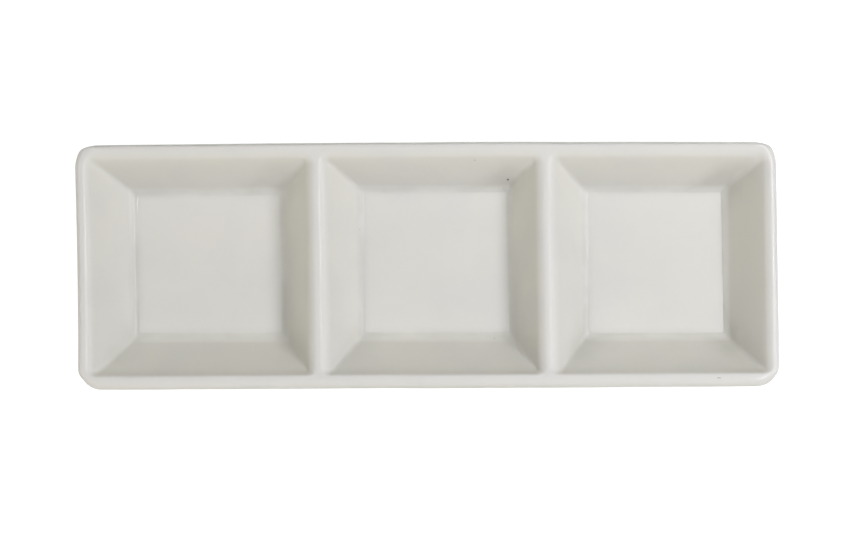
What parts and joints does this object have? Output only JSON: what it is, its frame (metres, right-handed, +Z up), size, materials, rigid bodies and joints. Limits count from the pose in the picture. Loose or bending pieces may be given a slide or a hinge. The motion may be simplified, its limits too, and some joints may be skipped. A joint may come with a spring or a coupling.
{
  "type": "relish tray",
  "caption": "Long rectangular glazed ceramic tray with square sloping-walled wells in a row, a rounded rim, rounded dividers and a foot ring under each well.",
  "frame": {"origin": "on the plane of the foot rings, under the centre of the tray's rim", "axes": "+X along the length, towards the right end in the picture; +Y across the width, towards the upper edge in the picture; +Z up, out of the wells"},
  "size_m": [0.364, 0.1276, 0.032],
  "materials": {
    "glaze": "gloss",
    "bare_clay": "matte"
  },
  "bodies": {
    "root": {"ceramic_body": "bare_clay", "glaze_coat": "glaze", "recess_glaze_left": "glaze", "recess_glaze_middle": "glaze", "recess_glaze_right": "glaze"}
  },
  "joints": []
}
